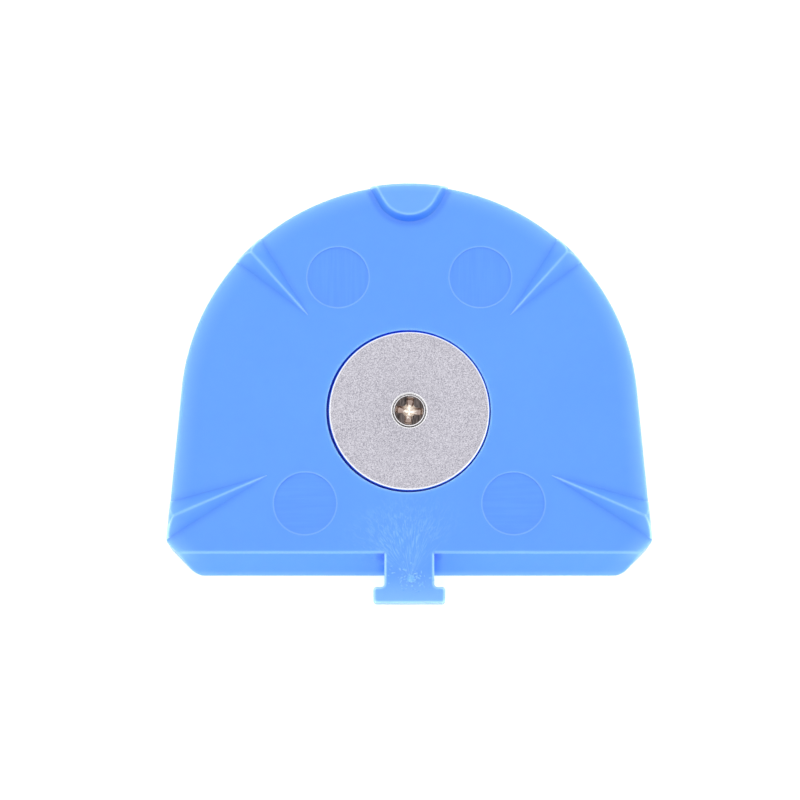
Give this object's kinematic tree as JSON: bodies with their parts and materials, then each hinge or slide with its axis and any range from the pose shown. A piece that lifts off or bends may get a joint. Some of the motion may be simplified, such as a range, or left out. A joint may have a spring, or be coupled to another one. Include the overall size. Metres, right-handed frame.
{
  "type": "magnetic glass cleaner half",
  "caption": "D-shaped moulded plate with raised keys, a T-shaped tab and a screw-held magnet disc in its face, closed underneath by a screwed cover.",
  "frame": {"origin": "on the axis of the magnet and its screw, at the flat face that the plate rests on", "axes": "+X across the plate, +Y towards its rounded end, +Z out of the face that carries the magnet"},
  "size_m": [0.0746, 0.0659, 0.0112],
  "materials": {
    "moulded_blue": "satin moulded, slightly translucent",
    "moulded_blue_base": "fine moulded texture",
    "plated_magnet": "fine-grained nickel plate with a bright edge",
    "screw_steel": "polished, dark in the recess",
    "keeper_steel": "zinc-plated",
    "insert_brass": "turned",
    "seal_rubber": "matte"
  },
  "bodies": {
    "housing": {"body_shell": "moulded_blue", "base_cover": "moulded_blue_base", "cover_seal": "seal_rubber", "threaded_insert": "insert_brass", "cover_screw_1": "screw_steel", "cover_screw_2": "screw_steel", "cover_screw_3": "screw_steel", "cover_screw_4": "screw_steel"},
    "magnet": {"magnet_disc": "plated_magnet", "keeper_plate": "keeper_steel"},
    "screw": {"magnet_screw": "screw_steel"}
  },
  "joints": [
    {"name": "magnet_height", "type": "slide", "parent": "housing", "child": "magnet", "axis": [0, 0, 1], "range_m": [0, 0.000675]},
    {"name": "screw_turn", "type": "hinge", "parent": "magnet", "child": "screw", "pos_m": [0, 0, 0.0098], "axis": [0, 0, 1], "range_deg": [0, 540.1]}
  ],
  "couplings": [
    {"joint": "screw_turn", "follows": "magnet_height", "rad_per_m": 13963}
  ]
}
